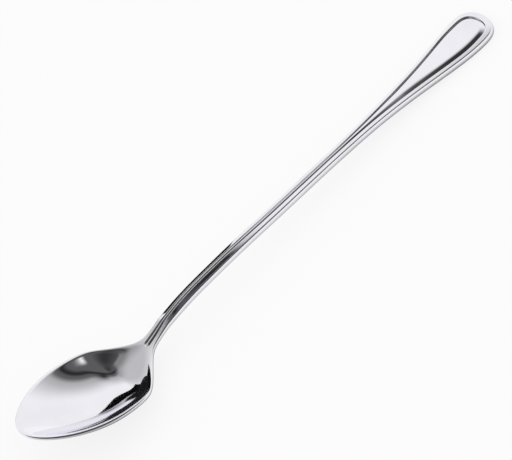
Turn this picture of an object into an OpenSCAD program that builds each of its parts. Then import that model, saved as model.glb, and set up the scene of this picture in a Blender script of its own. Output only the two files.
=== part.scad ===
// Iced tea spoon: one piece of polished steel, made here as its bowl and its long handle.
// The two meet face to face on a flat plane across the neck, and every surface runs on over it.
// X runs along the spoon from the bowl's tip to the handle's end, and Z is up.
// The origin is on the table under the middle of the spoon, which rests on its bowl and its tail.

/* [Overall] */
// Length from the tip of the bowl to the end of the handle
spoon_l = 195; // [170:1:230]

/* [Bowl] */
// Length of the bowl, from its tip to where its shoulders have run into the stem
bowl_l = 55; // [48:1:64]
// Width of the bowl over its rim
bowl_w = 32; // [26:0.5:38]
// Depth of the hollow under the rim
bowl_depth = 7.2; // [4:0.2:9]
// Width of the rim, from the outline to the edge of the hollow
rim_w = 0.9; // [0.6:0.1:1.4]
// Thickness of the metal at the rim
rim_t = 1.3; // [0.9:0.1:1.8]
// Thickness of the bowl's wall at its deepest place
wall_t = 1.6; // [1:0.1:2.4]
// How far the tip of the rim stands above the level of its heel
tip_lift = 11; // [6:0.5:14]

/* [Handle] */
// Width of the stem
stem_w = 4.4; // [3.8:0.1:5.6]
// Thickness of the stem at its edges
stem_t = 2.4; // [1.8:0.1:3.2]
// Width of the handle's flared end
tail_w = 15; // [11:0.2:18]
// Thickness of the handle's flared end at its edges
tail_t = 2.5; // [1.6:0.1:3.2]
// Length over which the handle widens towards its end
flare_l = 68; // [50:1:85]
// Length of the round that closes the handle's end
end_round_l = 10; // [8:0.5:14]
// How far the handle's crest stands above the level of the rim's heel
crest_rise = 2.4; // [1:0.2:8]
// Length over which the neck climbs from the heel to the crest
neck_l = 30; // [22:1:36]
// How far the middle of the handle's face stands above its edges
crown_h = 0.65; // [0.4:0.05:1]
// Width over which the face rolls down to its edges
crown_w = 4.5; // [3.5:0.25:6]

/* [Groove] */
// Width of the border outside the groove, along the stem
stem_border_w = 1.7; // [1.3:0.05:1.8]
// Width of the border outside the groove, round the flared end
tail_border_w = 2.45; // [1.6:0.05:3]
// Depth of the groove under the faces beside it
groove_d = 0.35; // [0.15:0.05:0.45]
// Width of the groove's steep flank, on the side of the border
groove_outer_w = 0.5; // [0.3:0.05:0.8]
// Width of the groove's long flank, where the panel rolls down to it
groove_inner_w = 2.2; // [1:0.1:3]
// Distance from the end of the shoulders back to the groove's round end
groove_lead = 8.2; // [7:0.2:10]
// Radius of that round end
groove_end_r = 0.8; // [0.6:0.05:1.1]

/* [Hidden] */

// Distance of the cut across the neck from the groove's round end
cut_lead = 1.5;
// Distance from the end of the shoulders back to the heel, the lowest place of the rim
heel_lead = 8;
// Length at the bowl's tip, and at the handle's end, over which the sections fan round
tip_fan_l = 13;
tail_fan_l = 15;
// Nearest that the groove's column of points comes to the middle of the spoon
groove_y_min = 0.25;
// Step between two near points that give a slope
slope_step = 0.01;

// Height of the side from the top edge down to the widest place, as a share of the thickness
side_share = 0.45;
// How far the top edge, and the flat back, lie inside the widest place, as shares of the thickness
arris_in_share = 0.12;
back_in_share = 0.25;
// How blunt the handle's end is: the power of its outline
end_power = 4;
// How much steeper the hollow starts at the rim than a plain parabola
steepness_share = 0.35;
// Length over which the groove's loop narrows from its round end, as a share of the neck
loop_narrow_share = 0.35;
// Softness of the hollow's edge as a share of the rim's width, and what the heel adds to it
rim_soft_share = 0.4;
heel_soft_share = 1.1;

// Square of the bowl's half width, as shares of its largest, at even steps from the tip
bowl_width_shares = [0, 0.29, 0.575, 0.81, 0.96, 1.01, 0.965, 0.85, 0.33, 0.02, 0, 0];
// Height of the rim, as shares of the tip's lift, at even steps from the tip
rim_lift_shares = [1, 0.74, 0.525, 0.305, 0.1, -0.12, -0.11, 0];
// Widening of the handle at even steps along the flare
flare_shares = [0, 0.025, 0.1, 0.255, 0.47, 0.755, 1.035, 0.99];
// Fall of the handle at even steps from its crest to its end
fall_shares = [0, 0.045, 0.21, 0.33, 0.485, 0.62, 0.835, 1.03, 1];

// Places of the points from the rim to the middle of the hollow, as shares of the way
hollow_shares = [0, 0.05, 0.12, 0.22, 0.34, 0.48, 0.64, 0.82, 1];
// Places from the top edge to the groove, and from the groove to the middle of the panel
border_shares = [0.3, 0.62, 0.84, 1];
panel_shares = [0.1, 0.24, 0.42, 0.66, 1];
// Places down the side, and from the back's round to its middle
side_shares = [0.12, 0.5, 1];
back_shares = [0.2, 0.42, 0.7, 1];
// Angles of the points round the back's edge
back_angles = [30, 60, 90];
// Places of the sections before the groove's round end, and along that end
approach_shares = [0, 0.4, 0.72, 0.9];
groove_end_shares = [0, 0.12, 0.35, 0.65, 1, 1.7];

half_bowl = bowl_w / 2;
heel_s = bowl_l - heel_lead;
groove_s = bowl_l - groove_lead;
groove_end_s = groove_s + groove_end_r;
cut_s = groove_s - cut_lead;
crest_s = bowl_l + neck_l / 2;
flare_s = spoon_l - flare_l;
tail_fan_s = spoon_l - tail_fan_l;
rib_half = stem_w / 2 - stem_border_w;
outer_depth = bowl_depth + wall_t - rim_t;

// Smooth rise from 0 to 1 that starts and ends without slope or bend
function ease(u) =
    let (t = min(max(u, 0), 1))
    t * t * t * (t * (6 * t - 15) + 10);

// Smooth curve over a table at even steps, for u from 0 to 1
function curve(table, u) =
    let (
        last = len(table) - 1,
        t = min(max(u, 0), 1) * last,
        k = min(floor(t), last - 1),
        f = t - k,
        before = k > 0 ? table[k - 1] : 2 * table[0] - table[1],
        after = k + 2 <= last ? table[k + 2] : 2 * table[last] - table[last - 1]
    )
    (pow(1 - f, 3) * before + (3 * f * f * f - 6 * f * f + 4) * table[k]
        + (3 * f * (1 + f - f * f) + 1) * table[k + 1] + f * f * f * after) / 6;

// Half width of the bare stem and flare, at a distance s from the bowl's tip
function bar_half(s) =
    stem_w / 2 + (tail_w - stem_w) / 2 * curve(flare_shares, (s - flare_s) / flare_l);

// Square of the outline's half width
function half_sq(s) =
    let (
        end_u = max((s - spoon_l + end_round_l) / end_round_l, 0),
        bar = bar_half(s) * bar_half(s) * ease(s / bowl_l) * max(1 - pow(end_u, end_power), 0)
    )
    half_bowl * half_bowl * curve(bowl_width_shares, s / bowl_l) + bar;

function half(s) = sqrt(max(half_sq(s), 0));

// Vector across the outline towards the middle, from a point on it
function inward(s, y) =
    let (
        a = max(s - slope_step, 0),
        b = min(s + slope_step, spoon_l)
    )
    [(half_sq(b) - half_sq(a)) / (b - a), -2 * y];

// Share of the bowl, and of the handle's own face, in a section
function on_bowl(s) = 1 - ease((s - heel_s) / neck_l);
function on_handle(s) = ease((s - heel_s + neck_l / 4) / neck_l);

// Height of the outline's top edge over the heel, without the handle's fall
function lifted(s) =
    tip_lift * curve(rim_lift_shares, s / bowl_l)
        + crest_rise * ease((s - heel_s + neck_l / 4) / neck_l);

function fallen_share(s) = curve(fall_shares, (s - crest_s) / (spoon_l - crest_s));

// Thickness of the metal at the outline
function thickness(s) =
    rim_t + (stem_t - rim_t) * ease((s - heel_s + neck_l / 3) / neck_l)
        + (tail_t - stem_t) * ease((s - flare_s) / flare_l);

// Round dish with a steep wall, from 0 at its edge to 1 in its middle
function dish(t) = (1 + steepness_share) * t / (1 + steepness_share * t);

// Depth of the bowl's hollow at a place
function hollow(s, y) =
    let (
        edge = rim_w * norm(inward(s, half(s))),
        soft = edge * (rim_soft_share + heel_soft_share * ease(2 * s / bowl_l - 0.9)),
        v = half_sq(s) - y * y - edge,
        depth = (v + sqrt(v * v + soft * soft)) / 2
    )
    bowl_depth * on_bowl(s) * dish(depth / (half_bowl * half_bowl));

// Depth of the bowl's outside at a place, below the rim's lower edge
function bulge(s, y) =
    outer_depth * on_bowl(s) * dish(max(half_sq(s) - y * y, 0) / (half_bowl * half_bowl));

// Width of the border outside the groove
function border(s) =
    stem_border_w + (tail_border_w - stem_border_w) * ease(4 * (s - spoon_l) / flare_l + 1);

// Half width of the groove's loop round its end, and along the stem where it narrows to the rib
function loop_half(s) =
    let (narrowed = ease((s - groove_end_s) / (neck_l * loop_narrow_share)))
    s < groove_end_s ? sqrt(max(pow(groove_end_r, 2) - pow(s - groove_end_s, 2), 0))
    : groove_end_r + (rib_half - groove_end_r) * narrowed;

// Distance of a place from the groove: above 0 on the border, below 0 on the panel
function groove_off(s, y, inset) =
    s < groove_end_s ? norm([s - groove_end_s, y]) - groove_end_r
    : s < flare_s ? abs(y) - loop_half(s)
    : border(s) - inset;

// Depth of the groove and of its flanks at a place
function groove(s, y, inset) =
    let (
        off = groove_off(s, y, inset),
        panel_half = s < flare_s ? loop_half(max(s, groove_end_s)) : bar_half(s) - border(s),
        inner_w = min(groove_inner_w, panel_half),
        t = min(off > 0 ? off / groove_outer_w : -off / inner_w, 1)
    )
    groove_d * (1 - t) * (1 - t);

// Height of the handle's face over its top edge, without the groove
function crown(s, inset) =
    let (
        first = arris_in_share * thickness(s),
        roll = min(crown_w, bar_half(s)) - first,
        t = 1 - min(max((inset - first) / roll, 0), 1)
    )
    crown_h * on_handle(s) * (1 - t * t);

// Sections run from a point of the outline to a point of the spine, and fan round at both ends
function spine(s) =
    s < tip_fan_l ? (tip_fan_l + s * s / tip_fan_l) / 2
    : s < tail_fan_s ? s
    : spoon_l - (tail_fan_l + pow(spoon_l - s, 2) / tail_fan_l) / 2;

// Lowest places of the bowl and of the tail, over the heel
bowl_stations = [for (i = [0:40]) cut_s * (1 - cos(120 - 3 * i)) / (1 - cos(120))];
tail_stations = [for (i = [1:14]) spoon_l - tail_fan_l * (1 - sin(90 * i / 14))];
handle_stations = concat(
    [for (u = approach_shares) cut_s + cut_lead * u],
    [for (u = groove_end_shares) groove_s + groove_end_r * u],
    [for (i = [2:13]) groove_s + (crest_s - groove_s) * i / 13],
    [for (i = [1:12]) crest_s + (flare_s - crest_s) * i / 12],
    [for (i = [1:20]) flare_s + (tail_fan_s - flare_s) * i / 20],
    tail_stations
);
bowl_low = min([for (s = bowl_stations) lifted(spine(s)) - thickness(spine(s)) - bulge(spine(s), 0)]);
fall = (lifted(spoon_l) - tail_t - bowl_low) / max([for (s = tail_stations) fallen_share(spine(s))]);

// Height of the top edge over the table
function rise(s) = lifted(s) - fall * fallen_share(s) - bowl_low;

// Height of the upper face, at an inset from the outline
function upper(s, y, inset) = rise(s) + crown(s, inset) - groove(s, y, inset) - hollow(s, y);

// Height of the back
function lower(s, y) = rise(s) - thickness(s) - bulge(s, y);

// Way of a section's upper points from the outline, for a section of a length and a slant
function upper_ways(s, length, slant) =
    let (
        rim = rim_w / slant,
        first = arris_in_share * thickness(s) / slant,
        crease = s < flare_s ? half(s) - max(loop_half(s), groove_y_min) : border(s) / slant,
        face = concat(
            [for (u = border_shares) first + (crease - first) * u],
            [for (u = panel_shares) crease + (length - crease) * u]
        ),
        mix = ease(2 * s / cut_s - 1)
    )
    [for (j = [0:len(hollow_shares) - 1])
        (1 - mix) * (rim + (length - rim) * hollow_shares[j]) + mix * face[j]];

// Points of the section that starts on one side of the outline, from the face to the back
function section(s, side) =
    let (
        start = [s, side * half(s)],
        way = [spine(s), 0] - start,
        length = norm(way),
        along = way / length,
        normal = inward(start.x, start.y),
        slant = along * normal / norm(normal),
        t = thickness(s),
        side_h = side_share * t,
        ways = upper_ways(s, length, slant),
        arris = start + along * arris_in_share * t / slant,
        arris_z = upper(arris.x, arris.y, arris_in_share * t),
        back_in = back_in_share * t / slant
    )
    concat(
        [for (j = [len(ways) - 2:-1:0])
            let (p = start + along * ways[j])
            [p.x, p.y, upper(p.x, p.y, ways[j] * slant)]],
        [[arris.x, arris.y, arris_z]],
        [for (u = side_shares)
            let (p = start + (arris - start) * (1 - u) * (1 - u))
            [p.x, p.y, arris_z * (1 - u) + (rise(s) - side_h) * u]],
        [for (a = back_angles)
            let (p = start + along * back_in * (1 - cos(a)))
            [p.x, p.y, lower(p.x, p.y) + (t - side_h) * (1 - sin(a))]],
        [for (j = [0:len(back_shares) - 2])
            let (p = start + along * (back_in + (length - back_in) * back_shares[j]))
            [p.x, p.y, lower(p.x, p.y)]]
    );

// Metal between the cut and one end, with sections from one side of the cut round to the other
module metal(stations, first_side) {
    n = len(stations) - 1;
    middles = [for (s = stations) spine(s)];
    sections = concat(
        [for (i = [0:n]) section(stations[i], first_side)],
        [for (i = [n - 1:-1:0]) section(stations[i], -first_side)]
    );
    count = len(sections[0]);
    upper_first = len(sections) * count;
    lower_first = upper_first + n + 1;
    centre = lower_first + n + 1;
    centre_z = rise(cut_s) - thickness(cut_s) / 2;
    points = concat(
        [for (points = sections) each points],
        [for (s = middles) [s, 0, upper(s, 0, spoon_l)]],
        [for (s = middles) [s, 0, lower(s, 0)]],
        [[cut_s, 0, centre_z]]
    );
    rings = [for (i = [0:2 * n])
        let (k = i <= n ? i : 2 * n - i)
        concat([upper_first + k], [for (j = [0:count - 1]) i * count + j], [lower_first + k])];
    rim = concat(rings[0], [for (j = [count + 1:-1:0]) rings[2 * n][j]]);
    faces = concat(
        [for (i = [0:2 * n - 1], j = [0:count]) [rings[i][j], rings[i + 1][j], rings[i + 1][j + 1]]],
        [for (i = [0:2 * n - 1], j = [0:count]) [rings[i][j], rings[i + 1][j + 1], rings[i][j + 1]]],
        [for (j = [0:len(rim) - 2]) [centre, rim[j], rim[j + 1]]]
    );
    translate([-spoon_l / 2, 0, 0]) polyhedron(points, faces);
}

module bowl() {
    color([0.8, 0.81, 0.82]) metal(bowl_stations, 1);
}

module handle() {
    color([0.72, 0.73, 0.75]) metal(handle_stations, -1);
}

bowl();
handle();
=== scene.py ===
"""Dresses the iced tea spoon: a smooth skin over each CAD solid, polished steel, a pale studio.

Both skins come from one node tree that follows the rules of the part's own source, in
millimetres: sections run from the outline to the spoon's middle, over the face, the side and the
back. The handle's crown, the roof of its neck and the groove have values of their own here.
"""

import logging
import math
from collections.abc import Callable
from dataclasses import dataclass, fields
from enum import Enum

import bpy
from mathutils import Matrix, Vector


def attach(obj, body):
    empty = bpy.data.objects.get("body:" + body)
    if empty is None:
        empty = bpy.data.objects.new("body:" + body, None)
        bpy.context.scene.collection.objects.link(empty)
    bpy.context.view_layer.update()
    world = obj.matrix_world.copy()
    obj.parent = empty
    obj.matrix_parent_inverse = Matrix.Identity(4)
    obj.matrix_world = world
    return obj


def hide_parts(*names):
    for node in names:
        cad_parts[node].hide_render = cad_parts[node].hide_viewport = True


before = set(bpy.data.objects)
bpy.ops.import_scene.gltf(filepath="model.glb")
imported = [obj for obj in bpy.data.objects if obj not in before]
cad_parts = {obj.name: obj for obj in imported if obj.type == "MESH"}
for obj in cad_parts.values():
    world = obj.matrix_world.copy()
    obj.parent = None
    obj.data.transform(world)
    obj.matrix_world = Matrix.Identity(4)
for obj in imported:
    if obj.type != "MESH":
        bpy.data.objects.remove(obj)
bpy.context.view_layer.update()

LOG = logging.getLogger("iced_tea_spoon")
METRES_PER_MM = 0.001


@dataclass(frozen=True)
class SpoonSizes:
    """Sizes of the spoon in millimetres; each becomes an input of the node tree."""

    spoon_length: float = 195.0
    bowl_length: float = 55.0
    bowl_width: float = 32.0
    bowl_depth: float = 7.2
    rim_width: float = 0.9
    rim_thickness: float = 1.3
    wall_thickness: float = 1.6
    tip_lift: float = 11.0
    stem_width: float = 4.4
    stem_thickness: float = 2.4
    tail_width: float = 15.0
    tail_thickness: float = 2.5
    flare_length: float = 68.0
    end_round: float = 10.0
    crest_rise: float = 2.4
    neck_length: float = 30.0
    crown_height: float = 0.3
    crown_width: float = 4.5
    neck_roof: float = 0.5
    stem_border: float = 1.7
    tail_border: float = 2.45
    groove_depth: float = 0.44
    groove_outer_flank: float = 0.3
    groove_inner_flank: float = 2.1
    groove_lead: float = 8.2
    groove_end_radius: float = 0.8
    cut_lead: float = 1.5
    heel_lead: float = 8.0
    tip_fan: float = 13.0
    tail_fan: float = 15.0


@dataclass(frozen=True)
class SpoonShares:
    """Shares that shape the spoon whatever its size."""

    side: float = 0.45
    arris_in: float = 0.12
    back_in: float = 0.25
    end_power: float = 4.0
    steepness: float = 0.35
    face_lead: float = 0.25
    thickness_lead: float = 1 / 3
    loop_narrow: float = 0.35
    border_widening: float = 0.25
    rim_soft: float = 0.4
    heel_soft: float = 1.1
    heel_soft_start: float = 0.45
    heel_soft_length: float = 0.5
    stem_groove: float = 0.3
    flank_straight: float = 0.5
    roof_length: float = 1.2
    bowl_width: tuple[float, ...] = (
        0, 0.29, 0.575, 0.81, 0.96, 1.01, 0.965, 0.85, 0.33, 0.02, 0, 0,
    )
    rim_lift: tuple[float, ...] = (1, 0.74, 0.525, 0.305, 0.1, -0.12, -0.11, 0)
    flare: tuple[float, ...] = (0, 0.025, 0.1, 0.255, 0.47, 0.755, 1.035, 0.99)
    fall: tuple[float, ...] = (0, 0.045, 0.21, 0.33, 0.485, 0.62, 0.835, 1.03, 1)


class FreeEnd(Enum):
    """The end of the spoon that a skin starts from, and the way it runs from there."""

    TIP = 1.0
    TAIL = -1.0


@dataclass(frozen=True)
class Stretch:
    """A stretch of a skin, from its free end on: its share of the sections, and its length."""

    sections: float
    length: float


def label(name: str) -> str:
    """Name of a tree's input, for a field or an argument of this name."""
    return name.replace("_", " ").capitalize()


@dataclass(frozen=True, eq=False)
class Field:
    """A number that varies over the surface, held as a socket; its operators add Math nodes."""

    maker: "TreeMaker"
    socket: bpy.types.NodeSocket

    def __add__(self, other: "Field | float") -> "Field":
        """Sum of this and another number."""
        return self.maker.math("ADD", self, other)

    def __sub__(self, other: "Field | float") -> "Field":
        """This number less another."""
        return self.maker.math("SUBTRACT", self, other)

    def __rsub__(self, other: float) -> "Field":
        """Another number less this."""
        return self.maker.math("SUBTRACT", other, self)

    def __mul__(self, other: "Field | float") -> "Field":
        """Product of this and another number."""
        return self.maker.math("MULTIPLY", self, other)

    def __truediv__(self, other: "Field | float") -> "Field":
        """This number divided by another."""
        return self.maker.math("DIVIDE", self, other)

    def __pow__(self, power: float) -> "Field":
        """This number to a power."""
        return self.maker.math("POWER", self, power)

    __radd__ = __add__
    __rmul__ = __mul__


Number = Field | float


class TreeMaker:
    """Adds nodes and fields to a node tree, and its inputs and outputs to one of its own."""

    COLUMNS = 40
    STEP = 180

    def __init__(self, tree: bpy.types.NodeTree) -> None:
        """Goes on with a tree that is there.

        Args:
            tree: The tree, such as a material's or a world's own.
        """
        self.tree = tree

    @classmethod
    def group(cls, name: str, kind: str = "GeometryNodeTree") -> "TreeMaker":
        """Starts an empty tree that takes inputs and gives outputs.

        Args:
            name: The tree's name.
            kind: Its type, for geometry or for a material.

        Returns:
            Its maker.
        """
        maker = cls(bpy.data.node_groups.new(name, kind))
        maker.entry = maker.node("NodeGroupInput")
        maker.exit = maker.node("NodeGroupOutput")
        return maker

    def node(self, kind: str, **settings: object) -> bpy.types.Node:
        """Adds a node.

        Args:
            kind: Type of the node.
            **settings: Properties set on it.

        Returns:
            The new node, placed in the next free cell of the tree's grid.
        """
        made = self.tree.nodes.new(kind)
        count = len(self.tree.nodes)
        made.location = (count % self.COLUMNS * self.STEP, -(count // self.COLUMNS) * self.STEP)
        for name, value in settings.items():
            setattr(made, name, value)
        return made

    def filled(
        self, kind: str, values: dict[str | int, object], **settings: object
    ) -> bpy.types.Node:
        """Adds a node and fills its inputs.

        Args:
            kind: Type of the node.
            values: What each input gets, by its name or its number.
            **settings: Properties set on the node first.

        Returns:
            The new node.
        """
        made = self.node(kind, **settings)
        for key, value in values.items():
            self.put(made.inputs[key], value)
        return made

    def put(self, socket: bpy.types.NodeSocket, value: object) -> None:
        """Links a socket to a field or another socket, or sets its value.

        Args:
            socket: The input to fill.
            value: A field, an output socket or a plain value.
        """
        if isinstance(value, Field):
            value = value.socket
        if isinstance(value, bpy.types.NodeSocket):
            self.tree.links.new(value, socket)
        else:
            socket.default_value = value

    def input(self, name: str, kind: str = "NodeSocketFloat", value: object = None) -> Field:
        """Adds a named input to the tree.

        Args:
            name: The input's name.
            kind: Type of its socket.
            value: Its default.

        Returns:
            The input as a field.
        """
        socket = self.tree.interface.new_socket(name, in_out="INPUT", socket_type=kind)
        if value is not None:
            socket.default_value = value
        return Field(self, self.entry.outputs[name])

    def output(self, name: str, value: object, kind: str = "NodeSocketFloat") -> None:
        """Adds a named output to the tree and links it.

        Args:
            name: The output's name.
            value: What it gives.
            kind: Type of its socket.
        """
        self.tree.interface.new_socket(name, in_out="OUTPUT", socket_type=kind)
        self.put(self.exit.inputs[name], value)

    def math(self, operation: str, *values: Number, clamp: bool = False) -> Field:
        """Adds a Math node.

        Args:
            operation: What it works out.
            *values: Its operands.
            clamp: Whether the result is kept between 0 and 1.

        Returns:
            Its result.
        """
        operands = dict(enumerate(values))
        made = self.filled("ShaderNodeMath", operands, operation=operation, use_clamp=clamp)
        return Field(self, made.outputs[0])

    def call(self, group: bpy.types.NodeTree, **values: Number) -> Field:
        """Adds a node of another tree.

        Args:
            group: The tree to use.
            **values: Its inputs by name, with _ for a space.

        Returns:
            Its first output.
        """
        inputs = {label(name): value for name, value in values.items()}
        made = self.filled("GeometryNodeGroup", inputs, node_tree=group)
        return Field(self, made.outputs[0])

    def least(self, a: Number, b: Number) -> Field:
        """The smaller of two numbers."""
        return self.math("MINIMUM", a, b)

    def most(self, a: Number, b: Number) -> Field:
        """The larger of two numbers."""
        return self.math("MAXIMUM", a, b)

    def unsigned(self, a: Number) -> Field:
        """A number without its sign."""
        return self.math("ABSOLUTE", a)

    def root(self, a: Number) -> Field:
        """Square root of a number, and 0 below 0."""
        return self.math("SQRT", self.most(a, 0.0))

    def kept(self, a: Number) -> Field:
        """A number kept from 0 to 1."""
        return self.math("ADD", a, 0.0, clamp=True)

    def between(self, a: Number, low: Number, high: Number) -> Field:
        """Share of the way that a number is from low to high, kept from 0 to 1."""
        return self.math("DIVIDE", a - low, high - low, clamp=True)

    def pick(self, less: Number, than: Number, first: Number, second: Number) -> Field:
        """The first number where less is under than, and the second elsewhere."""
        return self.mix(self.math("LESS_THAN", less, than), second, first)

    def mix(self, factor: Number, a: Number, b: Number) -> Field:
        """The number a at factor 0, b at factor 1, and a straight mix between."""
        made = self.filled("ShaderNodeMix", {"Factor": factor, "A": a, "B": b}, data_type="FLOAT")
        return Field(self, made.outputs[0])


class Rules:
    """Small trees that the spoon's surface is worked out with."""

    def __init__(self, shares: SpoonShares) -> None:
        """Builds the trees.

        Args:
            shares: The tables that become smooth curves.
        """
        self.ease = self.make_ease()
        self.bump = self.make_bump()
        self.bowl_width = self.make_curve("Bowl width curve", shares.bowl_width)
        self.rim_lift = self.make_curve("Rim lift curve", shares.rim_lift)
        self.flare = self.make_curve("Flare curve", shares.flare)
        self.fall = self.make_curve("Fall curve", shares.fall)

    def make_ease(self) -> bpy.types.NodeTree:
        """Builds a smooth rise from 0 to 1 that starts and ends without slope or bend.

        Returns:
            A tree that takes the way and gives the height.
        """
        maker = TreeMaker.group("Ease")
        t = maker.kept(maker.input("Way"))
        maker.output("Value", t * t * t * (t * (t * 6.0 - 15.0) + 10.0))
        return maker.tree

    def make_bump(self) -> bpy.types.NodeTree:
        """Builds the cubic spline's weight of one entry of a table.

        Returns:
            A tree that takes the distance from the entry in steps and gives the weight.
        """
        maker = TreeMaker.group("Bump")
        away = maker.unsigned(maker.input("Away"))
        outer = maker.most(2.0 - away, 0.0)
        inner = maker.most(1.0 - away, 0.0)
        maker.output("Value", (outer * outer * outer - inner * inner * inner * 4.0) / 6.0)
        return maker.tree

    def make_curve(self, name: str, table: tuple[float, ...]) -> bpy.types.NodeTree:
        """Builds a smooth curve over a table at even steps.

        Args:
            name: Name of the tree.
            table: The listed entries.

        Returns:
            A tree that takes the way along the table, from 0 to 1, and gives the value.
        """
        maker = TreeMaker.group(name)
        last = len(table) - 1
        steps = maker.kept(maker.input("Way")) * float(last)
        before, after = 2 * table[0] - table[1], 2 * table[last] - table[last - 1]
        total: Number = 0.0
        for place, entry in enumerate((before, *table, after), start=-1):
            if entry:
                total = maker.call(self.bump, away=steps - float(place)) * float(entry) + total
        maker.output("Value", total)
        return maker.tree


class SpoonSurface:
    """The node tree that makes a closed skin of the spoon from its free end to the cut.

    In its methods s is a distance from the tip, y one from the middle line and inset one from the
    outline. Half a section starts in the middle of the face and runs round to that of the back.
    RING gives the shares of this way at which the face, the side and the back's round edge end,
    and the face's points crowd round its knot, at FACE_KNOT of the face.
    """

    SLOPE_STEP = 0.02
    MERGE_DISTANCE = 0.0002
    LINE_POINTS = 600
    KNOT_EARLY, KNOT_LATE, KNOT_LEAST = 41.5, 45.2, 0.05
    RING = (0.56, 0.70, 0.80)
    FACE_KNOT = 0.62
    INNER_CROWDING, OUTER_CROWDING, BACK_CROWDING = 1.6, 1.3, 1.2
    NEAR_ROW = 0.25
    CUT_MARK = "on_cut"

    def __init__(self, shares: SpoonShares, sizes: SpoonSizes) -> None:
        """Builds the tree.

        Args:
            shares: What shapes the spoon whatever its size.
            sizes: Its sizes, which become named inputs.
        """
        self.shares = shares
        self.rules = Rules(shares)
        self.maker = TreeMaker.group("Spoon surface")
        self.size = {
            item.name: self.maker.input(label(item.name), value=getattr(sizes, item.name))
            for item in fields(sizes)
        }
        self.derive()

    def ease(self, way: Number) -> Field:
        """Smooth rise of a number from 0 to 1."""
        return self.maker.call(self.rules.ease, way=way)

    def derive(self) -> None:
        """Works out the sizes that follow from the named ones."""
        size = self.size
        self.half_bowl = size["bowl_width"] / 2.0
        self.heel = size["bowl_length"] - size["heel_lead"]
        self.groove_start = size["bowl_length"] - size["groove_lead"]
        self.groove_end = self.groove_start + size["groove_end_radius"]
        self.cut = self.groove_start - size["cut_lead"]
        self.crest = size["bowl_length"] + size["neck_length"] / 2.0
        self.flare_start = size["spoon_length"] - size["flare_length"]
        self.tail_fan_start = size["spoon_length"] - size["tail_fan"]
        self.rib_half = size["stem_width"] / 2.0 - size["stem_border"]
        self.outer_depth = size["bowl_depth"] + size["wall_thickness"] - size["rim_thickness"]
        self.low = self.statistic("Min", lambda way: self.lowest(self.cut * way))
        tail_half = size["tail_fan"] / 2.0
        deepest = self.statistic(
            "Max", lambda way: self.fallen_share(self.tail_fan_start + tail_half * way)
        )
        end_height = self.lifted(size["spoon_length"]) - size["tail_thickness"] - self.low
        self.fall = end_height / deepest

    def statistic(self, which: str, rule: Callable[[Field], Field]) -> Field:
        """Least or greatest value of a rule along a line.

        Args:
            which: Min or Max.
            rule: Gives the value at a way along the line, from 0 to 1.

        Returns:
            The one value, as a field.
        """
        maker = self.maker
        ends = {"Count": self.LINE_POINTS, "Offset": Vector((1.0, 0.0, 0.0))}
        line = maker.filled("GeometryNodeMeshLine", ends, mode="END_POINTS", count_mode="TOTAL")
        measured = {"Geometry": line.outputs["Mesh"], "Attribute": rule(self.place()[0])}
        made = maker.filled(
            "GeometryNodeAttributeStatistic", measured, data_type="FLOAT", domain="POINT"
        )
        return Field(maker, made.outputs[which])

    def place(self) -> tuple[Field, Field]:
        """The first two coordinates of a point, as fields."""
        position = self.maker.node("GeometryNodeInputPosition").outputs[0]
        split = self.maker.filled("ShaderNodeSeparateXYZ", {0: position})
        return Field(self.maker, split.outputs[0]), Field(self.maker, split.outputs[1])

    def bar_half(self, s: Number) -> Field:
        """Half width of the bare stem and flare.

        Args:
            s: Distance from the tip.

        Returns:
            The half width, without the round end.
        """
        size = self.size
        way = (s - self.flare_start) / size["flare_length"]
        flared = self.maker.call(self.rules.flare, way=way)
        return size["stem_width"] / 2.0 + (size["tail_width"] - size["stem_width"]) / 2.0 * flared

    def half_squared(self, s: Number) -> Field:
        """Square of the outline's half width.

        Args:
            s: Distance from the tip.

        Returns:
            The square, in which the bowl's share and the bar's are added up.
        """
        size, maker = self.size, self.maker
        share = s / size["bowl_length"]
        end = maker.most((s - size["spoon_length"] + size["end_round"]) / size["end_round"], 0.0)
        bar = self.bar_half(s)
        closing = maker.most(1.0 - end**self.shares.end_power, 0.0)
        bowl = self.half_bowl * self.half_bowl * maker.call(self.rules.bowl_width, way=share)
        return bowl + bar * bar * self.ease(share) * closing

    def slope(self, s: Number) -> Field:
        """Slope of the squared half width along the spoon.

        Args:
            s: Distance from the tip.

        Returns:
            The slope, over a short step that stays on the spoon.
        """
        before = self.maker.most(s - self.SLOPE_STEP, 0.0)
        after = self.maker.least(s + self.SLOPE_STEP, self.size["spoon_length"])
        return (self.half_squared(after) - self.half_squared(before)) / (after - before)

    def on_bowl(self, s: Number) -> Field:
        """Share of the bowl in a section."""
        return 1.0 - self.ease((s - self.heel) / self.size["neck_length"])

    def on_handle(self, s: Number) -> Field:
        """Share of the handle's own face in a section."""
        neck = self.size["neck_length"]
        return self.ease((s - self.heel + neck * self.shares.face_lead) / neck)

    def lifted(self, s: Number) -> Field:
        """Height of the top edge over the heel, without the handle's fall."""
        lift = self.maker.call(self.rules.rim_lift, way=s / self.size["bowl_length"])
        return self.size["tip_lift"] * lift + self.size["crest_rise"] * self.on_handle(s)

    def fallen_share(self, s: Number) -> Field:
        """Share of the handle's fall in a section."""
        way = (s - self.crest) / (self.size["spoon_length"] - self.crest)
        return self.maker.call(self.rules.fall, way=way)

    def thickness(self, s: Number) -> Field:
        """Thickness of the metal at the outline.

        Args:
            s: Distance from the tip.

        Returns:
            The thickness of rim, stem and tail, with smooth changes between.
        """
        size, neck = self.size, self.size["neck_length"]
        on_stem = self.ease((s - self.heel + neck * self.shares.thickness_lead) / neck)
        on_tail = self.ease((s - self.flare_start) / size["flare_length"])
        stem = (size["stem_thickness"] - size["rim_thickness"]) * on_stem
        tail = (size["tail_thickness"] - size["stem_thickness"]) * on_tail
        return size["rim_thickness"] + stem + tail

    def dish(self, t: Number) -> Field:
        """Round dish with a steep wall, from 0 at its edge to 1 in its middle."""
        steepness = self.shares.steepness
        return (1 + steepness) * t / (1.0 + steepness * t)

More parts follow.
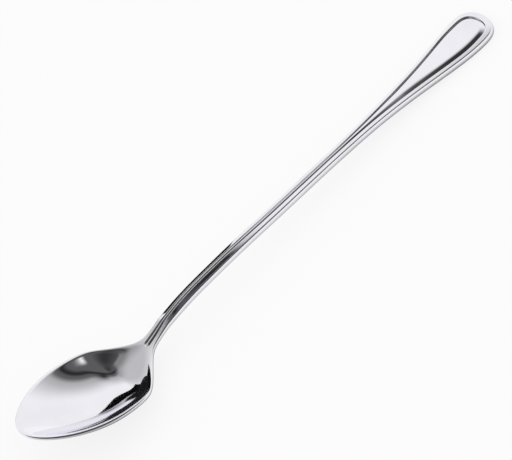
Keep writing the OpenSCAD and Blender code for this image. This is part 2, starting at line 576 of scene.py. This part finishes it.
    def hollow(self, s: Number, y: Number) -> Field:
        """Depth of the bowl's hollow at a place.

        Args:
            s: Distance from the tip.
            y: Distance from the middle line.

        Returns:
            The depth below the rim, which starts softly inside the rim's width.
        """
        size, maker, shares = self.size, self.maker, self.shares
        squared, slope = self.half_squared(s), self.slope(s)
        edge = size["rim_width"] * maker.root(slope * slope + 4.0 * squared)
        along = s / size["bowl_length"] - shares.heel_soft_start
        heel = self.ease(along / shares.heel_soft_length)
        soft = edge * (shares.rim_soft + shares.heel_soft * heel)
        inside = squared - y * y - edge
        depth = (inside + maker.root(inside * inside + soft * soft)) / 2.0
        dish = self.dish(depth / (self.half_bowl * self.half_bowl))
        return size["bowl_depth"] * self.on_bowl(s) * dish

    def bulge(self, s: Number, y: Number) -> Field:
        """Depth of the bowl's outside at a place, below the rim's lower edge."""
        inside = self.maker.most(self.half_squared(s) - y * y, 0.0)
        dish = self.dish(inside / (self.half_bowl * self.half_bowl))
        return self.outer_depth * self.on_bowl(s) * dish

    def lowest(self, s: Number) -> Field:
        """Height of the back's middle over the heel."""
        return self.lifted(s) - self.thickness(s) - self.bulge(s, 0.0 * s)

    def border(self, s: Number) -> Field:
        """Width of the border outside the groove.

        Args:
            s: Distance from the tip.

        Returns:
            The width, which grows near the end of the flare.
        """
        size = self.size
        stretch = size["flare_length"] * self.shares.border_widening
        widened = self.ease((s - size["spoon_length"]) / stretch + 1.0)
        return size["stem_border"] + (size["tail_border"] - size["stem_border"]) * widened

    def loop_half(self, s: Number) -> Field:
        """Half width of the groove's loop round its end, and along the stem.

        Args:
            s: Distance from the tip.

        Returns:
            The half width, from 0 at the loop's end on the neck.
        """
        maker, radius = self.maker, self.size["groove_end_radius"]
        away = maker.least(s - self.groove_end, 0.0)
        narrowing = self.size["neck_length"] * self.shares.loop_narrow
        narrowed = self.ease((s - self.groove_end) / narrowing)
        along = radius + (self.rib_half - radius) * narrowed
        return maker.pick(s, self.groove_end, maker.root(radius * radius - away * away), along)

    def groove(self, s: Number, y: Number, inset: Number) -> Field:
        """Depth of the groove and of its flanks at a place.

        Args:
            s: Distance from the tip.
            y: Distance from the middle line.
            inset: Distance from the outline.

        Returns:
            The depth below the crown. A flank has a straight part, and a round one that ends flat.
        """
        maker, size, straight = self.maker, self.size, self.shares.flank_straight
        away = s - self.groove_end
        loop = self.loop_half(maker.most(s, self.groove_end))
        border = self.border(s)
        round_end = maker.root(away * away + y * y) - size["groove_end_radius"]
        on_stem = maker.pick(s, self.flare_start, maker.unsigned(y) - loop, border - inset)
        off = maker.pick(s, self.groove_end, round_end, on_stem)
        panel_half = maker.pick(s, self.flare_start, loop, self.bar_half(s) - border)
        widest = size["groove_inner_flank"]
        inner = maker.least(widest, panel_half)
        shallow = self.shares.stem_groove
        depth = size["groove_depth"] * (shallow + inner / widest * (1.0 - shallow))
        outside = off / size["groove_outer_flank"]
        t = maker.least(maker.pick(0.0, off, outside, 0.0 - off / inner), 1.0)
        sloping = 1.0 - t * (2.0 / (1.0 + straight))
        rounded = (1.0 - t) * (1.0 - t) * (1.0 / (1.0 - straight * straight))
        return depth * maker.pick(t, straight, sloping, rounded)

    def crown(self, s: Number, inset: Number) -> Field:
        """Height of the handle's face over its top edge, without the groove.

        Args:
            s: Distance from the tip.
            inset: Distance from the outline.

        Returns:
            The height of the round crown, and of the roof that the neck has as well.
        """
        maker, size = self.maker, self.size
        first = self.shares.arris_in * self.thickness(s)
        widest = size["crown_width"] - first
        roll = maker.least(size["crown_width"], self.bar_half(s)) - first
        t = 1.0 - maker.between(inset - first, 0.0, roll)
        share = roll / widest
        fading = size["neck_length"] * self.shares.roof_length
        faded = 1.0 - self.ease((s - self.crest) / fading)
        round_crown = size["crown_height"] * share * share * (1.0 - t * t)
        roof = maker.between(inset - first, 0.0, size["stem_border"] - first)
        return self.on_handle(s) * (round_crown + size["neck_roof"] * faded * roof)

    def spine(self, s: Number) -> Field:
        """Distance from the tip at which a section that starts at s meets the middle.

        Args:
            s: Distance from the tip at which the section leaves the outline.

        Returns:
            The same distance along the spoon, and one that fans out near both ends.
        """
        maker, size = self.maker, self.size
        left = size["spoon_length"] - s
        fan = size["spoon_length"] - (size["tail_fan"] + left * left / size["tail_fan"]) / 2.0
        beyond = maker.pick(s, self.tail_fan_start, s, fan)
        return maker.pick(s, size["tip_fan"], (size["tip_fan"] + s) / 2.0, beyond)

    def rise(self, s: Number) -> Field:
        """Height of the top edge over the table."""
        return self.lifted(s) - self.fall * self.fallen_share(s) - self.low

    def upper(self, s: Number, y: Number, inset: Number) -> Field:
        """Height of the upper face."""
        return self.rise(s) + self.crown(s, inset) - self.groove(s, y, inset) - self.hollow(s, y)

    def lower(self, s: Number, y: Number) -> Field:
        """Height of the back."""
        return self.rise(s) - self.thickness(s) - self.bulge(s, y)

    def knot(self, s: Number, slant: Number, half: Number) -> Field:
        """Way from the outline to the line that the face's points crowd round.

        Args:
            s: Distance from the tip at which the section leaves the outline.
            slant: Distance from the outline that is gained for each unit along the section.
            half: Half width of the outline.

        Returns:
            The way to the rim's edge on the bowl, and to the groove on the handle.
        """
        maker = self.maker
        rim = self.size["rim_width"] / slant
        on_stem = half - maker.most(self.loop_half(s), self.KNOT_LEAST)
        groove = maker.pick(s, self.flare_start, on_stem, self.border(s) / slant)
        late = self.ease((s - self.KNOT_EARLY) / (self.KNOT_LATE - self.KNOT_EARLY))
        return maker.mix(late, rim, groove)

    def build(self, stretches: tuple[Stretch, ...]) -> bpy.types.NodeTree:
        """Ends the tree: the grid of points, their places, the merged seams and the cap.

        Args:
            stretches: How the sections are shared out from the free end to the cut.

        Returns:
            The tree.
        """
        maker = self.maker
        sections = maker.input("Sections", "NodeSocketInt")
        points = maker.input("Points round", "NodeSocketInt")
        free_end = maker.input("Free end")
        direction = maker.input("Direction")
        finish = maker.input("Finish", "NodeSocketMaterial")
        counts = {"Size X": 1.0, "Size Y": 1.0, "Vertices X": sections, "Vertices Y": points}
        grid = maker.filled("GeometryNodeMeshGrid", counts)
        u, v = self.place()
        rows = maker.math("SUBTRACT", sections, 2.0)
        row = (u + 0.5) * (rows + 1.0)
        s = free_end + direction * self.gone(maker.least(row / rows, 1.0), stretches)
        round_way = v * 2.0
        side = direction * maker.math("SIGN", round_way)
        x, y, z = self.on_section(s, side, 1.0 - maker.unsigned(round_way))
        capped = maker.math("GREATER_THAN", row, rows + self.NEAR_ROW)
        cap_z = self.rise(self.cut) - self.thickness(self.cut) / 2.0
        place = (
            maker.mix(capped, x, self.cut) - self.size["spoon_length"] / 2.0,
            maker.mix(capped, y, 0.0),
            maker.mix(capped, z, cap_z),
        )
        self.finish_mesh(grid, place, row - rows, finish)
        return maker.tree

    def gone(self, way: Number, stretches: tuple[Stretch, ...]) -> Field:
        """Distance from the free end at a share of the sections.

        Args:
            way: Share of the sections, from 0 at the free end to 1 at the cut.
            stretches: How the sections are shared out; the first crowds towards its free end.

        Returns:
            The distance, as a field.
        """
        begun = 0.0
        total: Number = 0.0
        for number, stretch in enumerate(stretches):
            share = self.maker.between(way, begun, begun + stretch.sections)
            begun += stretch.sections
            total = (share if number else share * share) * stretch.length + total
        return total

    def on_section(self, s: Field, side: Field, way: Field) -> tuple[Field, Field, Field]:
        """Place of a point on a section.

        Args:
            s: Distance from the tip at which the section leaves the outline.
            side: 1 on one side of the spoon and -1 on the other.
            way: Share of the way round, from the face's middle to the back's.

        Returns:
            Its three coordinates, with the first counted from the tip.
        """
        maker, shares = self.maker, self.shares
        half = maker.root(self.half_squared(s))
        slope = self.slope(s)
        start_y = side * half
        reach = self.spine(s) - s
        length = maker.root(reach * reach + half * half)
        along_x, along_y = reach / length, 0.0 - start_y / length
        normal_length = maker.root(slope * slope + 4.0 * half * half)
        slant = (along_x * slope - along_y * start_y * 2.0) / normal_length
        thick = self.thickness(s)
        side_height = shares.side * thick
        first = shares.arris_in * thick / slant
        back_in = shares.back_in * thick / slant

        face_end, side_end, edge_end = self.RING
        face = maker.between(way, 0.0, face_end)
        down = maker.between(way, face_end, side_end)
        edge = maker.between(way, side_end, edge_end) * (math.pi / 2)
        back = maker.between(way, edge_end, 1.0)

        knot = self.knot(s, slant, half)
        inner = 1.0 - maker.between(face, 0.0, self.FACE_KNOT)
        outer = maker.between(face, self.FACE_KNOT, 1.0)
        crowded = (length - knot) * inner**self.INNER_CROWDING
        up_way = knot + crowded + (first - knot) * outer**self.OUTER_CROWDING
        up_z = self.upper(s + along_x * up_way, start_y + along_y * up_way, up_way * slant)

        turned = back_in * (1.0 - maker.math("COSINE", edge))
        low_way = turned + (length - back_in) * back**self.BACK_CROWDING
        low_x, low_y = s + along_x * low_way, start_y + along_y * low_way
        dropped = (thick - side_height) * (1.0 - maker.math("SINE", edge))
        low_z = self.lower(low_x, low_y) + dropped

        left = 1.0 - down
        side_z = self.rise(s) - side_height
        return (
            maker.pick(way, side_end, s + along_x * up_way * left * left, low_x),
            maker.pick(way, side_end, start_y + along_y * up_way * left * left, low_y),
            maker.pick(way, side_end, maker.mix(down, up_z, side_z), low_z),
        )

    def finish_mesh(
        self, grid: bpy.types.Node, place: tuple[Field, ...], from_cut: Field, finish: Field
    ) -> None:
        """Places the grid's points, merges its seams, marks the cut's edge sharp and dresses it.

        Args:
            grid: The node that gives the grid.
            place: The three coordinates of each point.
            from_cut: Rows between a point and the cut.
            finish: The material.
        """
        maker, mark = self.maker, {"Name": self.CUT_MARK}
        joined = maker.filled("ShaderNodeCombineXYZ", dict(enumerate(place)))
        on_cut = maker.math("COMPARE", from_cut, 0.0, self.NEAR_ROW)
        cut_edge = maker.filled("GeometryNodeInputNamedAttribute", mark, data_type="BOOLEAN")
        sharp = {"Selection": cut_edge.outputs["Attribute"], "Shade Smooth": False}
        on_points = {"data_type": "BOOLEAN", "domain": "POINT"}
        chain = (
            ("GeometryNodeStoreNamedAttribute", {**mark, "Value": on_cut}, on_points),
            ("GeometryNodeSetPosition", {"Position": joined.outputs[0]}, {}),
            ("GeometryNodeMergeByDistance", {"Distance": self.MERGE_DISTANCE}, {}),
            ("GeometryNodeSetShadeSmooth", {"Shade Smooth": True}, {"domain": "FACE"}),
            ("GeometryNodeSetShadeSmooth", sharp, {"domain": "EDGE"}),
            ("GeometryNodeRemoveAttribute", mark, {}),
            ("GeometryNodeTransform", {"Scale": Vector((METRES_PER_MM,) * 3)}, {}),
            ("GeometryNodeRealizeInstances", {}, {}),
            ("GeometryNodeSetMaterial", {"Material": finish}, {}),
        )
        feed = grid.outputs["Mesh"]
        for kind, values, settings in chain:
            feed = maker.filled(kind, {0: feed, **values}, **settings).outputs[0]
        maker.output("Geometry", feed, "NodeSocketGeometry")


class PolishMarks:
    """The marks that polishing and use leave on steel: hairlines along it, and dull clouds."""

    CLOUDS_PER_METRE = 90.0
    HAIRLINE_DETAIL, CLOUD_DETAIL = 2.0, 3.0
    WEAR_STARTS, WEAR_FULL = 0.42, 0.68

    def group(self) -> bpy.types.NodeTree:
        """Builds the group.

        Returns:
            A tree that gives a colour, a roughness and a height over Object coordinates.
        """
        maker = TreeMaker.group("Polish marks", "ShaderNodeTree")
        colour = maker.input("Colour", "NodeSocketColor")
        worn_colour = maker.input("Worn colour", "NodeSocketColor")
        roughness, spread = maker.input("Roughness"), maker.input("Roughness spread")
        across = maker.input("Marks per metre")
        along = across * maker.input("Marks stretch")
        place = maker.node("ShaderNodeTexCoord").outputs["Object"]
        stretch = maker.filled("ShaderNodeCombineXYZ", {0: along, 1: across, 2: across})
        sides = {0: place, 1: stretch.outputs[0]}
        scaled = maker.filled("ShaderNodeVectorMath", sides, operation="MULTIPLY").outputs[0]
        hairlines = self.noise(maker, scaled, 1.0, self.HAIRLINE_DETAIL)
        clouds = self.noise(maker, place, self.CLOUDS_PER_METRE, self.CLOUD_DETAIL)
        steps = {"Value": clouds, "From Min": self.WEAR_STARTS, "From Max": self.WEAR_FULL}
        worn = Field(maker, maker.filled("ShaderNodeMapRange", steps).outputs[0])
        blend = {"Factor": worn, "A": colour, "B": worn_colour}
        mixed = maker.filled("ShaderNodeMix", blend, data_type="RGBA")
        maker.output("Colour", mixed.outputs["Result"], "NodeSocketColor")
        maker.output("Roughness", roughness + spread * (hairlines * worn))
        maker.output("Height", hairlines)
        return maker.tree

    def noise(
        self, maker: TreeMaker, place: bpy.types.NodeSocket, scale: float, detail: float
    ) -> Field:
        """Adds a Noise Texture.

        Args:
            maker: The maker of the group.
            place: Where it is read.
            scale: Its scale.
            detail: Its detail.

        Returns:
            Its factor.
        """
        values = {"Vector": place, "Scale": scale, "Detail": detail}
        return Field(maker, maker.filled("ShaderNodeTexNoise", values).outputs["Fac"])


@dataclass(frozen=True)
class PolishedSteel:
    """Mirror-polished stainless steel with the fine marks of polishing and use."""

    name: str = "mirror_polished_steel"
    colour: tuple[float, float, float] = (0.925, 0.915, 0.965)
    worn_colour: tuple[float, float, float] = (0.885, 0.875, 0.923)
    roughness: float = 0.055
    roughness_spread: float = 0.05
    marks_per_metre: float = 9000.0
    marks_stretch: float = 0.04
    scratch_bump: float = 0.02
    scratch_depth: float = 0.000002

    def material(self) -> bpy.types.Material:
        """Builds the material.

        Returns:
            A node material that reads Object coordinates.
        """
        made = bpy.data.materials.new(self.name)
        made.use_nodes = True
        maker = TreeMaker(made.node_tree)
        values = {
            "Colour": (*self.colour, 1.0),
            "Worn colour": (*self.worn_colour, 1.0),
            "Roughness": self.roughness,
            "Roughness spread": self.roughness_spread,
            "Marks per metre": self.marks_per_metre,
            "Marks stretch": self.marks_stretch,
        }
        marks = maker.filled("ShaderNodeGroup", values, node_tree=PolishMarks().group()).outputs
        scratches = {
            "Strength": self.scratch_bump,
            "Distance": self.scratch_depth,
            "Height": marks["Height"],
        }
        bump = maker.filled("ShaderNodeBump", scratches)
        shader = made.node_tree.nodes["Principled BSDF"]
        shader.inputs["Metallic"].default_value = 1.0
        maker.put(shader.inputs["Base Color"], marks["Colour"])
        maker.put(shader.inputs["Roughness"], marks["Roughness"])
        maker.put(shader.inputs["Normal"], bump.outputs["Normal"])
        return made


@dataclass(frozen=True)
class MattePaint:
    """Grey paint without any gloss, for what stands in the studio."""

    name: str
    level: float

    def material(self) -> bpy.types.Material:
        """Builds the material.

        Returns:
            A node material of one plain tone.
        """
        made = bpy.data.materials.new(self.name)
        made.use_nodes = True
        shader = made.node_tree.nodes["Principled BSDF"]
        shader.inputs["Base Color"].default_value = (self.level, self.level, self.level, 1.0)
        shader.inputs["Roughness"].default_value = 1.0
        shader.inputs["Specular IOR Level"].default_value = 0.0
        return made


@dataclass(frozen=True)
class Spoon:
    """The spoon's two pieces of steel, each a skin over its CAD node."""

    sizes: SpoonSizes
    shares: SpoonShares
    finish: bpy.types.Material

    RING_POINTS = 181
    BOWL_SECTIONS, HANDLE_SECTIONS = 260, 270
    TIP_TO_CUT = (Stretch(0.28, 8.0), Stretch(0.5, 32.0), Stretch(0.22, 5.3))
    TAIL_TO_CUT = (
        Stretch(0.20, 12.0),
        Stretch(0.27, 56.0),
        Stretch(0.10, 62.0),
        Stretch(0.15, 16.0),
        Stretch(0.28, 3.7),
    )

    def bowl(self) -> bpy.types.Object:
        """Builds the bowl, from its tip to the cut across the neck."""
        return self.skin("bowl", FreeEnd.TIP, self.TIP_TO_CUT, self.BOWL_SECTIONS)

    def handle(self) -> bpy.types.Object:
        """Builds the neck, the stem and the flared end, from the tail to the cut."""
        return self.skin("handle", FreeEnd.TAIL, self.TAIL_TO_CUT, self.HANDLE_SECTIONS)

    def skin(
        self, node: str, end: FreeEnd, stretches: tuple[Stretch, ...], sections: int
    ) -> bpy.types.Object:
        """Builds one piece and puts it in the place of its CAD node.

        Args:
            node: The CAD node that it stands for.
            end: Its free end.
            stretches: How its sections are shared out.
            sections: How many there are.

        Returns:
            The piece, as a plain mesh at the origin.
        """
        tree = SpoonSurface(self.shares, self.sizes).build(stretches)
        carrier = bpy.data.objects.new(f"{node}_tree", bpy.data.meshes.new(f"{node}_base"))
        bpy.context.scene.collection.objects.link(carrier)
        modifier = carrier.modifiers.new("Surface", "NODES")
        modifier.node_group = tree
        values = {
            "Sections": sections + 1,
            "Points round": self.RING_POINTS,
            "Free end": 0.0 if end is FreeEnd.TIP else self.sizes.spoon_length,
            "Direction": end.value,
            "Finish": self.finish,
        }
        for item in fields(self.sizes):
            values[label(item.name)] = getattr(self.sizes, item.name)
        for socket in tree.interface.items_tree:
            if socket.in_out == "INPUT":
                modifier[socket.identifier] = values[socket.name]
        graph = bpy.context.evaluated_depsgraph_get()
        mesh = bpy.data.meshes.new_from_object(carrier.evaluated_get(graph))
        carrier.modifiers.remove(modifier)
        bpy.data.objects.remove(carrier)
        mesh.name = f"{node}_skin"
        piece = bpy.data.objects.new(f"{node}_skin", mesh)
        bpy.context.scene.collection.objects.link(piece)
        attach(piece, "root")
        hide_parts(node)
        LOG.info("%s: %d faces", piece.name, len(mesh.polygons))
        return piece


@dataclass(frozen=True)
class Panel:
    """A soft-edged panel of the tent, placed and measured in degrees.

    A panel without a height is round, and its width is the whole angle across it. The others run
    along the horizon. A panel can be left for the first reflection to see past, so that only
    light that has bounced between the steel's walls meets it; such a panel is painted shade in
    those reflections.
    """

    name: str
    azimuth: float
    elevation: float
    width: float
    soft: float
    level: float
    height: float | None = None
    first_seen: int = 1

    def mask(self, maker: TreeMaker, way: tuple[Field, Field, Field]) -> Field:
        """Share of the panel in a direction.

        Args:
            maker: The maker of the world's tree.
            way: The direction's three parts.

        Returns:
            1 on the panel and 0 off it.
        """
        x, y, z = way
        turn, rise = math.radians(self.azimuth), math.radians(self.elevation)
        ahead = x * math.cos(turn) + y * math.sin(turn)
        if self.height is None:
            cosine = ahead * math.cos(rise) + z * math.sin(rise)
            return self.inside(maker, maker.math("ARCCOSINE", cosine), self.width)
        aside = y * math.cos(turn) - x * math.sin(turn)
        sideways = maker.unsigned(maker.math("ARCTAN2", aside, ahead))
        upwards = maker.unsigned(maker.math("ARCSINE", z) - rise)
        return self.inside(maker, sideways, self.width) * self.inside(maker, upwards, self.height)

    def inside(self, maker: TreeMaker, off: Field, size: float) -> Field:
        """Share of the panel at an angle from its middle.

        Args:
            maker: The maker of the world's tree.
            off: The angle, in radians.
            size: The panel's whole size that way, in degrees.

        Returns:
            1 on the panel and 0 off it.
        """
        edge = {
            "Value": off,
            "From Min": math.radians(size / 2 + self.soft),
            "From Max": math.radians(size / 2 - self.soft),
        }
        smooth = {"interpolation_type": "SMOOTHSTEP", "label": self.name}
        return Field(maker, maker.filled("ShaderNodeMapRange", edge, **smooth).outputs[0])


@dataclass(frozen=True)
class Card:
    """A dark upright card near the spoon, which only the steel's reflections show."""

    name: str
    middle: tuple[float, float, float]
    width: float
    height: float
    turn: float
    level: float


class Studio:
    """The pale floor, the dark card, the soft light and the camera, in metres and degrees."""

    AIM = Vector((0.00067, 0.00679, 0.0))
    AZIMUTH, ELEVATION, ROLL = -24.304, 45.788, -27.606
    DISTANCE = 1.3248
    FOCAL_PIXELS, IMAGE_WIDTH, SENSOR = 4459.19, 512, 36.0
    NEAREST, FARTHEST = 0.05, 20.0
    FLOOR_SIZE, FLOOR_DROP, FLOOR_LEVEL = 6.0, 0.00005, 0.9
    PAPER_SHARE = 0.96
    # Painted shade on the floor's glow: its reach and depth near the spoon, the dark band in front
    # that only the steel sees, and the camera's faint painted contact shadow.
    SHADE_REACH, SHADE_DEPTH = 0.05, 2.0
    FRONT_SHADE = {"From Min": 0.050, "From Max": 0.062, "To Min": 1.0, "To Max": 0.05}
    CONTACT_SHADOW = 0.12
    CARDS = (
        Card("black_card", (-0.008, 0.230, 0.060), width=0.162, height=0.118, turn=77, level=0.01),
    )
    WHITE_LEVEL, BACKDROP_LEVEL = 0.93, 0.97
    PANELS = (
        Panel("haze", azimuth=-114, elevation=46, width=154, soft=14, level=0.45),
        Panel("opening edge", azimuth=-114, elevation=46, width=124, soft=4, level=0.11),
        Panel("opening line", azimuth=-114, elevation=46, width=110, soft=2, level=0.02),
        Panel("room", azimuth=-114, elevation=46, width=101, soft=2.5, level=0.11),
        Panel("rear shade", azimuth=-150, elevation=60, width=30, soft=15, level=0.035),
        Panel("zenith shade", azimuth=180, elevation=80, width=12, soft=8, level=0.035),
        Panel("tail shade", azimuth=17, elevation=69, width=14, soft=9, level=0.02),
        Panel("lamp", azimuth=-59, elevation=46, width=6, soft=7, level=1.2),
        Panel("grey end", azimuth=140, elevation=-18, width=66, height=164, soft=4, level=0.24),
        Panel("grey wall", azimuth=121, elevation=-20, width=52, height=160, soft=14, level=0.54),
        # Painted shade: these dark panels are met only by light bounced two or more times between
        # the steel's walls.
        Panel(
            "inner card", azimuth=105, elevation=35, width=50, height=54, soft=3, level=0.01,
            first_seen=2,
        ),
        Panel(
            "deep card", azimuth=85, elevation=36, width=90, height=60, soft=3, level=0.02,
            first_seen=3,
        ),
        Panel("white table", azimuth=0, elevation=-90, width=360, height=178, soft=1, level=1.0),
    )

    def camera(self) -> bpy.types.Object:
        """Puts the camera at the photograph's viewing angle.

        Returns:
            The camera.
        """
        azimuth, elevation, roll = map(math.radians, (self.AZIMUTH, self.ELEVATION, self.ROLL))
        flat = math.cos(elevation)
        back = Vector((flat * math.sin(azimuth), -flat * math.cos(azimuth), math.sin(elevation)))
        right = (-back).cross(Vector((0, 0, 1))).normalized()
        up = right.cross(-back)
        turned = math.cos(roll) * right + math.sin(roll) * up
        upright = math.cos(roll) * up - math.sin(roll) * right
        data = bpy.data.cameras.new("photo_camera")
        data.sensor_width = self.SENSOR
        data.lens = self.FOCAL_PIXELS * self.SENSOR / self.IMAGE_WIDTH
        data.clip_start, data.clip_end = self.NEAREST, self.FARTHEST
        made = bpy.data.objects.new("photo_camera", data)
        bpy.context.scene.collection.objects.link(made)
        rotation = Matrix((turned, upright, back)).transposed().to_4x4()
        made.matrix_world = Matrix.Translation(self.AIM + back * self.DISTANCE) @ rotation
        bpy.context.scene.camera = made
        return made

    def sheet(
        self, name: str, corners: list[tuple[float, float, float]], finish: bpy.types.Material
    ) -> bpy.types.Object:
        """Makes a flat sheet.

        Args:
            name: Its name.
            corners: Its four corners, in order.
            finish: Its material.

        Returns:
            The sheet.
        """
        mesh = bpy.data.meshes.new(name)
        mesh.from_pydata(corners, [], [(0, 1, 2, 3)])
        mesh.materials.append(finish)
        made = bpy.data.objects.new(name, mesh)
        bpy.context.scene.collection.objects.link(made)
        return made

    def floor(self) -> bpy.types.Object:
        """Lays the white floor, which keeps the spoon's shadow: a little of it real, most of it
        painted into the floor's glow.

        Returns:
            The floor.
        """
        half, z = self.FLOOR_SIZE / 2, -self.FLOOR_DROP
        corners = [(-half, -half, z), (half, -half, z), (half, half, z), (-half, half, z)]
        finish = MattePaint("white_floor", self.FLOOR_LEVEL).material()
        self.whiten(finish.node_tree)
        made = self.sheet("floor", corners, finish)
        return made

    def whiten(self, tree: bpy.types.NodeTree) -> None:
        """Shows the camera and the steel a floor like white paper, whose glow carries painted
        shade.

        The camera sees it with a faint painted shadow round the spoon, from ambient occlusion. The
        steel
        sees painted shade in it: darker under the spoon, and beyond a line in front of it.

        Args:
            tree: The node tree of the floor's paint.
        """
        maker = TreeMaker(tree)
        rays = maker.node("ShaderNodeLightPath").outputs
        glossy = Field(maker, rays["Is Glossy Ray"])
        seen = maker.most(Field(maker, rays["Is Camera Ray"]), glossy)
        # Painted shadow: ambient occlusion darkens the floor's glow near and under the spoon.
        near = maker.filled("ShaderNodeAmbientOcclusion", {"Distance": self.SHADE_REACH})
        open_share = Field(maker, near.outputs["AO"])
        faint = open_share * self.CONTACT_SHADOW + (1.0 - self.CONTACT_SHADOW)
        # Painted shade: the steel sees the floor dark beyond a line in front of the spoon.
        azimuth = math.radians(self.AZIMUTH)
        forwards = (math.sin(azimuth), -math.cos(azimuth), 0.0)
        sides = {0: maker.node("ShaderNodeTexCoord").outputs["Object"], 1: forwards}
        ahead = maker.filled("ShaderNodeVectorMath", sides, operation="DOT_PRODUCT")
        steps = {"Value": ahead.outputs["Value"], **self.FRONT_SHADE}
        front = Field(maker, maker.filled("ShaderNodeMapRange", steps).outputs[0])
        shaded = open_share**self.SHADE_DEPTH * front
        paper_and_painted_shade = maker.filled("ShaderNodeEmission", {"Strength": maker.mix(glossy, faint, shaded)})
        layers = {
            0: seen * self.PAPER_SHARE,
            1: tree.nodes["Principled BSDF"].outputs[0],
            2: paper_and_painted_shade.outputs[0],
        }
        blend = maker.filled("ShaderNodeMixShader", layers)
        maker.put(tree.nodes["Material Output"].inputs["Surface"], blend.outputs[0])

    def stand(self, card: Card) -> bpy.types.Object:
        """Stands a card by the spoon.

        Args:
            card: Its place, size and tone.

        Returns:
            The card.
        """
        side, top = card.width / 2, card.height / 2
        corners = [(0, -side, -top), (0, side, -top), (0, side, top), (0, -side, top)]
        made = self.sheet(card.name, corners, MattePaint(card.name, card.level).material())
        made.location = card.middle
        made.rotation_euler.z = math.radians(card.turn)
        made.visible_camera = made.visible_diffuse = made.visible_shadow = False
        return made

    def world(self) -> None:
        """Gives the studio its soft light: a tent whose panels lie one over the other, some of
        them painted shade that only light bounced between the steel's walls meets.
        """
        world = bpy.data.worlds.new("studio")
        bpy.context.scene.world = world
        world.use_nodes = True
        maker = TreeMaker(world.node_tree)
        direction = maker.node("ShaderNodeTexCoord").outputs["Generated"]
        split = maker.filled("ShaderNodeSeparateXYZ", {0: direction})
        way = tuple(Field(maker, part) for part in split.outputs)
        rays = maker.node("ShaderNodeLightPath").outputs
        depth = Field(maker, rays["Glossy Depth"])
        level: Number = self.WHITE_LEVEL
        for panel in self.PANELS:
            mask = panel.mask(maker, way)
            # Painted shade: a panel first seen after more reflections darkens only light bounced
            # between the steel's walls.
            if panel.first_seen > 1:
                mask = mask * maker.math("GREATER_THAN", depth, panel.first_seen - 0.5)
            level = maker.mix(mask, level, panel.level)
        level = maker.mix(Field(maker, rays["Is Camera Ray"]), level, self.BACKDROP_LEVEL)
        sky = world.node_tree.nodes["Background"]
        maker.put(sky.inputs["Color"], (1.0, 1.0, 1.0, 1.0))
        maker.put(sky.inputs["Strength"], level)


def main() -> None:
    """Builds the spoon and the studio."""
    logging.basicConfig(level=logging.INFO, format="%(name)s: %(message)s")
    bpy.context.scene.view_settings.view_transform = "Standard"
    spoon = Spoon(SpoonSizes(), SpoonShares(), PolishedSteel().material())
    spoon.bowl()
    spoon.handle()
    studio = Studio()
    studio.camera()
    studio.floor()
    for card in Studio.CARDS:
        studio.stand(card)
    studio.world()


if __name__ == "__main__":
    main()
